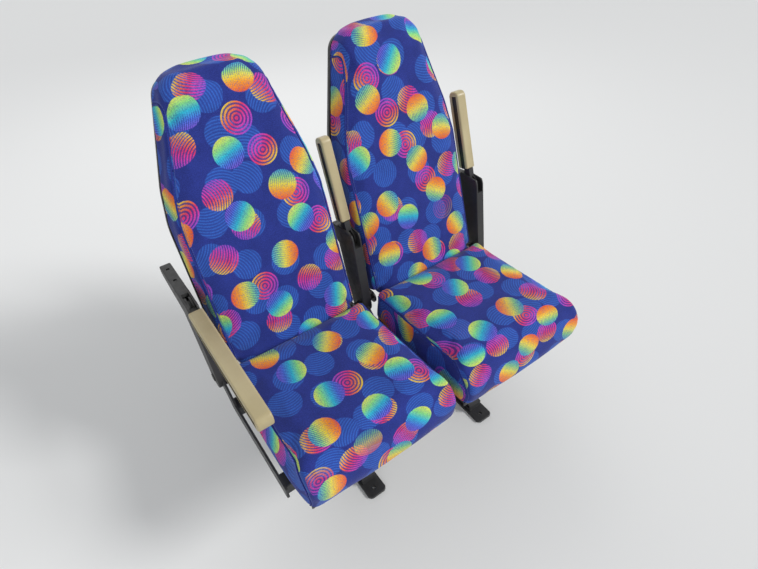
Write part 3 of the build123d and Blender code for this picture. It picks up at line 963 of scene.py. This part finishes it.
def dress(piece, welts, body, node):
    for obj in (piece, *welts):
        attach(obj, body)
    paint(piece, MOQUETTE)
    for welt in welts:
        paint(welt, WELTING)
    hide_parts(node)


def sewn(form, corners_of, low, high):
    """Presses both side seams into a piece and gives their welts."""
    seams = [lay_on(form, smooth_path(corners_of(low, high, side))) for side in (-1, 1)]
    press_seams(form, seams)
    kind = form.name.split("_")[0]
    return [add_welt(f"{kind}_welt_{side}_aisle", seam) for side, seam in zip(("left", "right"), seams)]


def pair(form, welts):
    """The aisle piece with its welts, and copies of them for the window place."""
    twins = [copy_piece(welt, welt.name.replace("aisle", "window")) for welt in welts]
    return [(form, welts, "aisle"), (copy_piece(form, form.name.replace("aisle", "window")), twins, "window")]


def make_backs():
    low, high = leaning_box("back_pad_aisle")
    form = soft_piece(back_form(), lambda p: p.y > high.y - BACK_HELD)
    crown_top(form, high.z, (high.x - low.x) / 2 - TOP_STEP)
    welts = sewn(form, back_seam_corners, low, high)
    for obj, cords, place in pair(form, welts):
        low, high = leaning_box("back_pad_" + place)
        shift = CLOTH_SHIFTS[place]
        lay_fabric(obj, lambda p, normal: front_cloth(p, normal, low.y, shift),
                   lambda p, normal: side_cloth(p, BACK_SIDE_SHIFT + shift))
        for piece in (obj, *cords):
            settle(piece, ((low.x + high.x) / 2, 0, 0))
            settle(piece, turn=(-BACK_LEAN, 0, 0))
        dress(obj, cords, "back_" + place, "back_pad_" + place)


def make_cushions():
    low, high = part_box("cushion_aisle")
    form = soft_piece(cushion_form(), lambda p: p.z < low.z + CUSHION_HELD)
    welts = sewn(form, cushion_seam_corners, low, high)
    for obj, cords, place in pair(form, welts):
        low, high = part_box("cushion_" + place)
        shift = CLOTH_SHIFTS[place] + CUSHION_SHIFT
        slope = (high.z - rear_top(high)) / (high.y - low.y)
        lay_fabric(obj, lambda p, normal: top_cloth(p, normal, low.y, high.z, slope, shift),
                   lambda p, normal: side_cloth(p, CUSHION_SIDE_SHIFT + shift))
        for piece in (obj, *cords):
            settle(piece, ((low.x + high.x) / 2, 0, 0))
        dress(obj, cords, "base", "cushion_" + place)


# Small fittings: screws in the aisle housing and plugs over the outer recline pins
def screw(name, place):
    """A button-head screw with a hexagon socket, standing on a place."""
    bpy.ops.object.select_all(action="DESELECT")
    bpy.ops.mesh.primitive_cylinder_add(vertices=24, radius=SCREW_R, depth=SCREW_HEIGHT,
                                        location=place + Vector((0, 0, SCREW_HEIGHT / 2)))
    obj = bpy.context.object
    obj.name = name
    fix_place()
    top = place.z + SCREW_HEIGHT
    start_edit(obj)
    pick(obj, "EDGE", lambda e: all(v.co.z > top - NEAR for v in e.verts))
    bpy.ops.mesh.bevel(offset=SCREW_EDGE, segments=4, affect="EDGES")
    pick(obj, "FACE", lambda f: len(f.verts) > 4 and f.normal.z > 0.9)
    bpy.ops.mesh.inset(thickness=SOCKET_RIM)
    mesh = bmesh.from_edit_mesh(obj.data)
    for vertex in {v for f in mesh.faces if f.select for v in f.verts}:
        across = (vertex.co - place).xy
        angle = (atan2(across.y, across.x) % radians(60)) - radians(30)
        reach = SOCKET_R * cos(radians(30)) / cos(angle)
        vertex.co.xy = place.xy + across.normalized() * reach
    bmesh.update_edit_mesh(obj.data)
    bpy.ops.mesh.extrude_region_move(TRANSFORM_OT_translate={"value": (0, 0, -SOCKET_DEPTH)})
    end_edit()
    only(obj)
    bpy.ops.object.shade_smooth_by_angle(angle=SHARP)
    paint(obj, ZINC)
    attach(obj, "base")


def plug(name, place, outward):
    """A plastic plug over a pin's end, with a rounded rim and a dished middle."""
    bpy.ops.object.select_all(action="DESELECT")
    bpy.ops.mesh.primitive_cylinder_add(vertices=32, radius=PLUG_R, depth=PLUG_HEIGHT,
                                        location=place + Vector((outward * PLUG_HEIGHT / 2, 0, 0)),
                                        rotation=(0, radians(90), 0))
    obj = bpy.context.object
    obj.name = name
    fix_place()
    face = place.x + outward * PLUG_HEIGHT
    start_edit(obj)
    pick(obj, "EDGE", lambda e: all(abs(v.co.x - face) < NEAR for v in e.verts))
    bpy.ops.mesh.bevel(offset=PLUG_EDGE, segments=5, affect="EDGES")
    pick(obj, "FACE", lambda f: len(f.verts) > 4 and f.normal.x * outward > 0.9)
    bpy.ops.mesh.inset(thickness=PLUG_RIM)
    bpy.ops.transform.translate(value=(-outward * PLUG_DISH, 0, 0))
    end_edit()
    only(obj)
    bpy.ops.object.shade_smooth_by_angle(angle=radians(50))
    paint(obj, BLACK)
    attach(obj, "base")


def arm_cap(place, slant):
    """An armrest's pad with the end beside its pin rounded off."""
    node = frame["nodes"]["arm_pad_" + place]
    obj = bpy.data.objects.new("arm_cap_" + place, node.data.copy())
    scene.collection.objects.link(obj)
    low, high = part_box("arm_pad_" + place)
    middle, half = (low.x + high.x) / 2, (high.x - low.x) / 2
    turn = Matrix.Rotation(slant, 3, "X")
    along, up = turn @ Vector((0, -1, 0)), turn @ Vector((0, 0, 1))
    start_edit(obj)
    bpy.ops.mesh.select_all(action="SELECT")
    bpy.ops.mesh.remove_doubles(threshold=WELD)
    bpy.ops.mesh.dissolve_limited(angle_limit=radians(0.5))
    for swing in (22.5, 45, 67.5, 90):
        cut = ARM_CAP_START + ARM_CAP_ROUND * (1 - cos(radians(swing)))
        bpy.ops.mesh.select_all(action="SELECT")
        bpy.ops.mesh.bisect(plane_co=ARM_PIN + along * cut, plane_no=along)
    end_edit()
    for vertex in obj.data.vertices:
        spot = vertex.co - ARM_PIN
        left = ARM_CAP_ROUND - (spot.dot(along) - ARM_CAP_START)
        if left <= 0:
            continue
        inset = ARM_CAP_ROUND - sqrt(max(ARM_CAP_ROUND ** 2 - left ** 2, 0.0))
        height = spot.dot(up)
        inner, outer = ARM_CAP_UPPER if height > 0 else ARM_CAP_LOWER
        vertex.co -= up * (height - inner) * inset / abs(outer - inner)
        vertex.co.x -= (vertex.co.x - middle) * inset / half
    only(obj)
    bpy.ops.object.shade_smooth_by_angle(angle=SHARP)
    paint(obj, BEIGE)
    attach(obj, "arm_" + place)
    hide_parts("arm_pad_" + place)


def make_fittings():
    for place, slant in ARM_SLANTS.items():
        arm_cap(place, slant)
    low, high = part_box("housing_aisle")
    for name, (y, z) in SCREW_PLACES.items():
        screw(name, Vector(((low.x + high.x) / 2, y, z)))
    for place, outward in (("aisle", -1), ("window", 1)):
        low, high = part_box("housing_" + place)
        x = high.x if outward > 0 else low.x
        plug("recline_plug_" + place, Vector((x, *RECLINE_PIN)), outward)


make_backs()
make_cushions()
make_fittings()


# Stage: the floor, the sky as it lights and as it is seen, the lamps and the camera
FLOOR_SIZE = 120
FLOOR_COLOUR = (0.80, 0.80, 0.79)
SKY_LIGHT = (0.495, 0.506, 0.522, 1.0)
SKY_SEEN = (0.722, 0.730, 0.733, 1.0)
LAMPS_AIM = Vector((0, 0.1, 0.6))


def make_floor():
    bpy.ops.object.select_all(action="DESELECT")
    bpy.ops.mesh.primitive_plane_add(size=FLOOR_SIZE, location=(0, 0, 0))
    floor = bpy.context.object
    floor.name = "floor"
    material, tree, shader = new_material("floor", FLOOR_COLOUR, 0.9)
    shader.inputs["Specular IOR Level"].default_value = 0.0
    floor.data.materials.append(material)


def make_sky():
    """A plain sky, with its own colour where it is seen directly, mirrored or through glass."""
    world = bpy.data.worlds.new("studio")
    scene.world = world
    world.use_nodes = True
    tree, sky = world.node_tree, world.node_tree.nodes["Background"]
    rays = tree.nodes.new("ShaderNodeLightPath").outputs
    seen = math_node(tree, "MAXIMUM", rays["Is Camera Ray"],
                     math_node(tree, "MAXIMUM", rays["Is Glossy Ray"], rays["Is Transmission Ray"]))
    tree.links.new(mix_colour(tree, seen, SKY_LIGHT, SKY_SEEN), sky.inputs["Color"])


def add_lamp(light, place, strength):
    light.energy = strength
    lamp = bpy.data.objects.new(light.name, light)
    lamp.location = place
    lamp.rotation_euler = (place - LAMPS_AIM).to_track_quat("Z", "Y").to_euler()
    scene.collection.objects.link(lamp)


def make_lamps():
    key = bpy.data.lights.new("key", "SUN")
    key.angle = radians(16)
    add_lamp(key, Vector((2.3, -1.9, 2.7)), 1.9)
    fill = bpy.data.lights.new("fill", "SUN")
    fill.angle = radians(50)
    add_lamp(fill, Vector((-2.8, -1.8, 1.6)), 0.35)
    rim = bpy.data.lights.new("rim", "AREA")
    rim.size = 2.4
    add_lamp(rim, Vector((0.9, 2.4, 2.4)), 20.0)


def make_camera():
    data = bpy.data.cameras.new("camera")
    data.sensor_width = SENSOR
    data.lens = FOCAL_PIXELS / PHOTO_WIDTH * SENSOR
    camera = bpy.data.objects.new("camera", data)
    scene.collection.objects.link(camera)
    camera.location = BACKS_MIDDLE + (VIEWPOINT - BACKS_MIDDLE) * STEP_BACK
    look = (LOOK_AT - camera.location).to_track_quat("-Z", "Y")
    camera.rotation_mode = "QUATERNION"
    camera.rotation_quaternion = look @ Matrix.Rotation(CAMERA_ROLL, 3, "Z").to_quaternion()
    scene.camera = camera


make_floor()
make_sky()
make_lamps()
make_camera()
scene.view_settings.view_transform = "Standard"
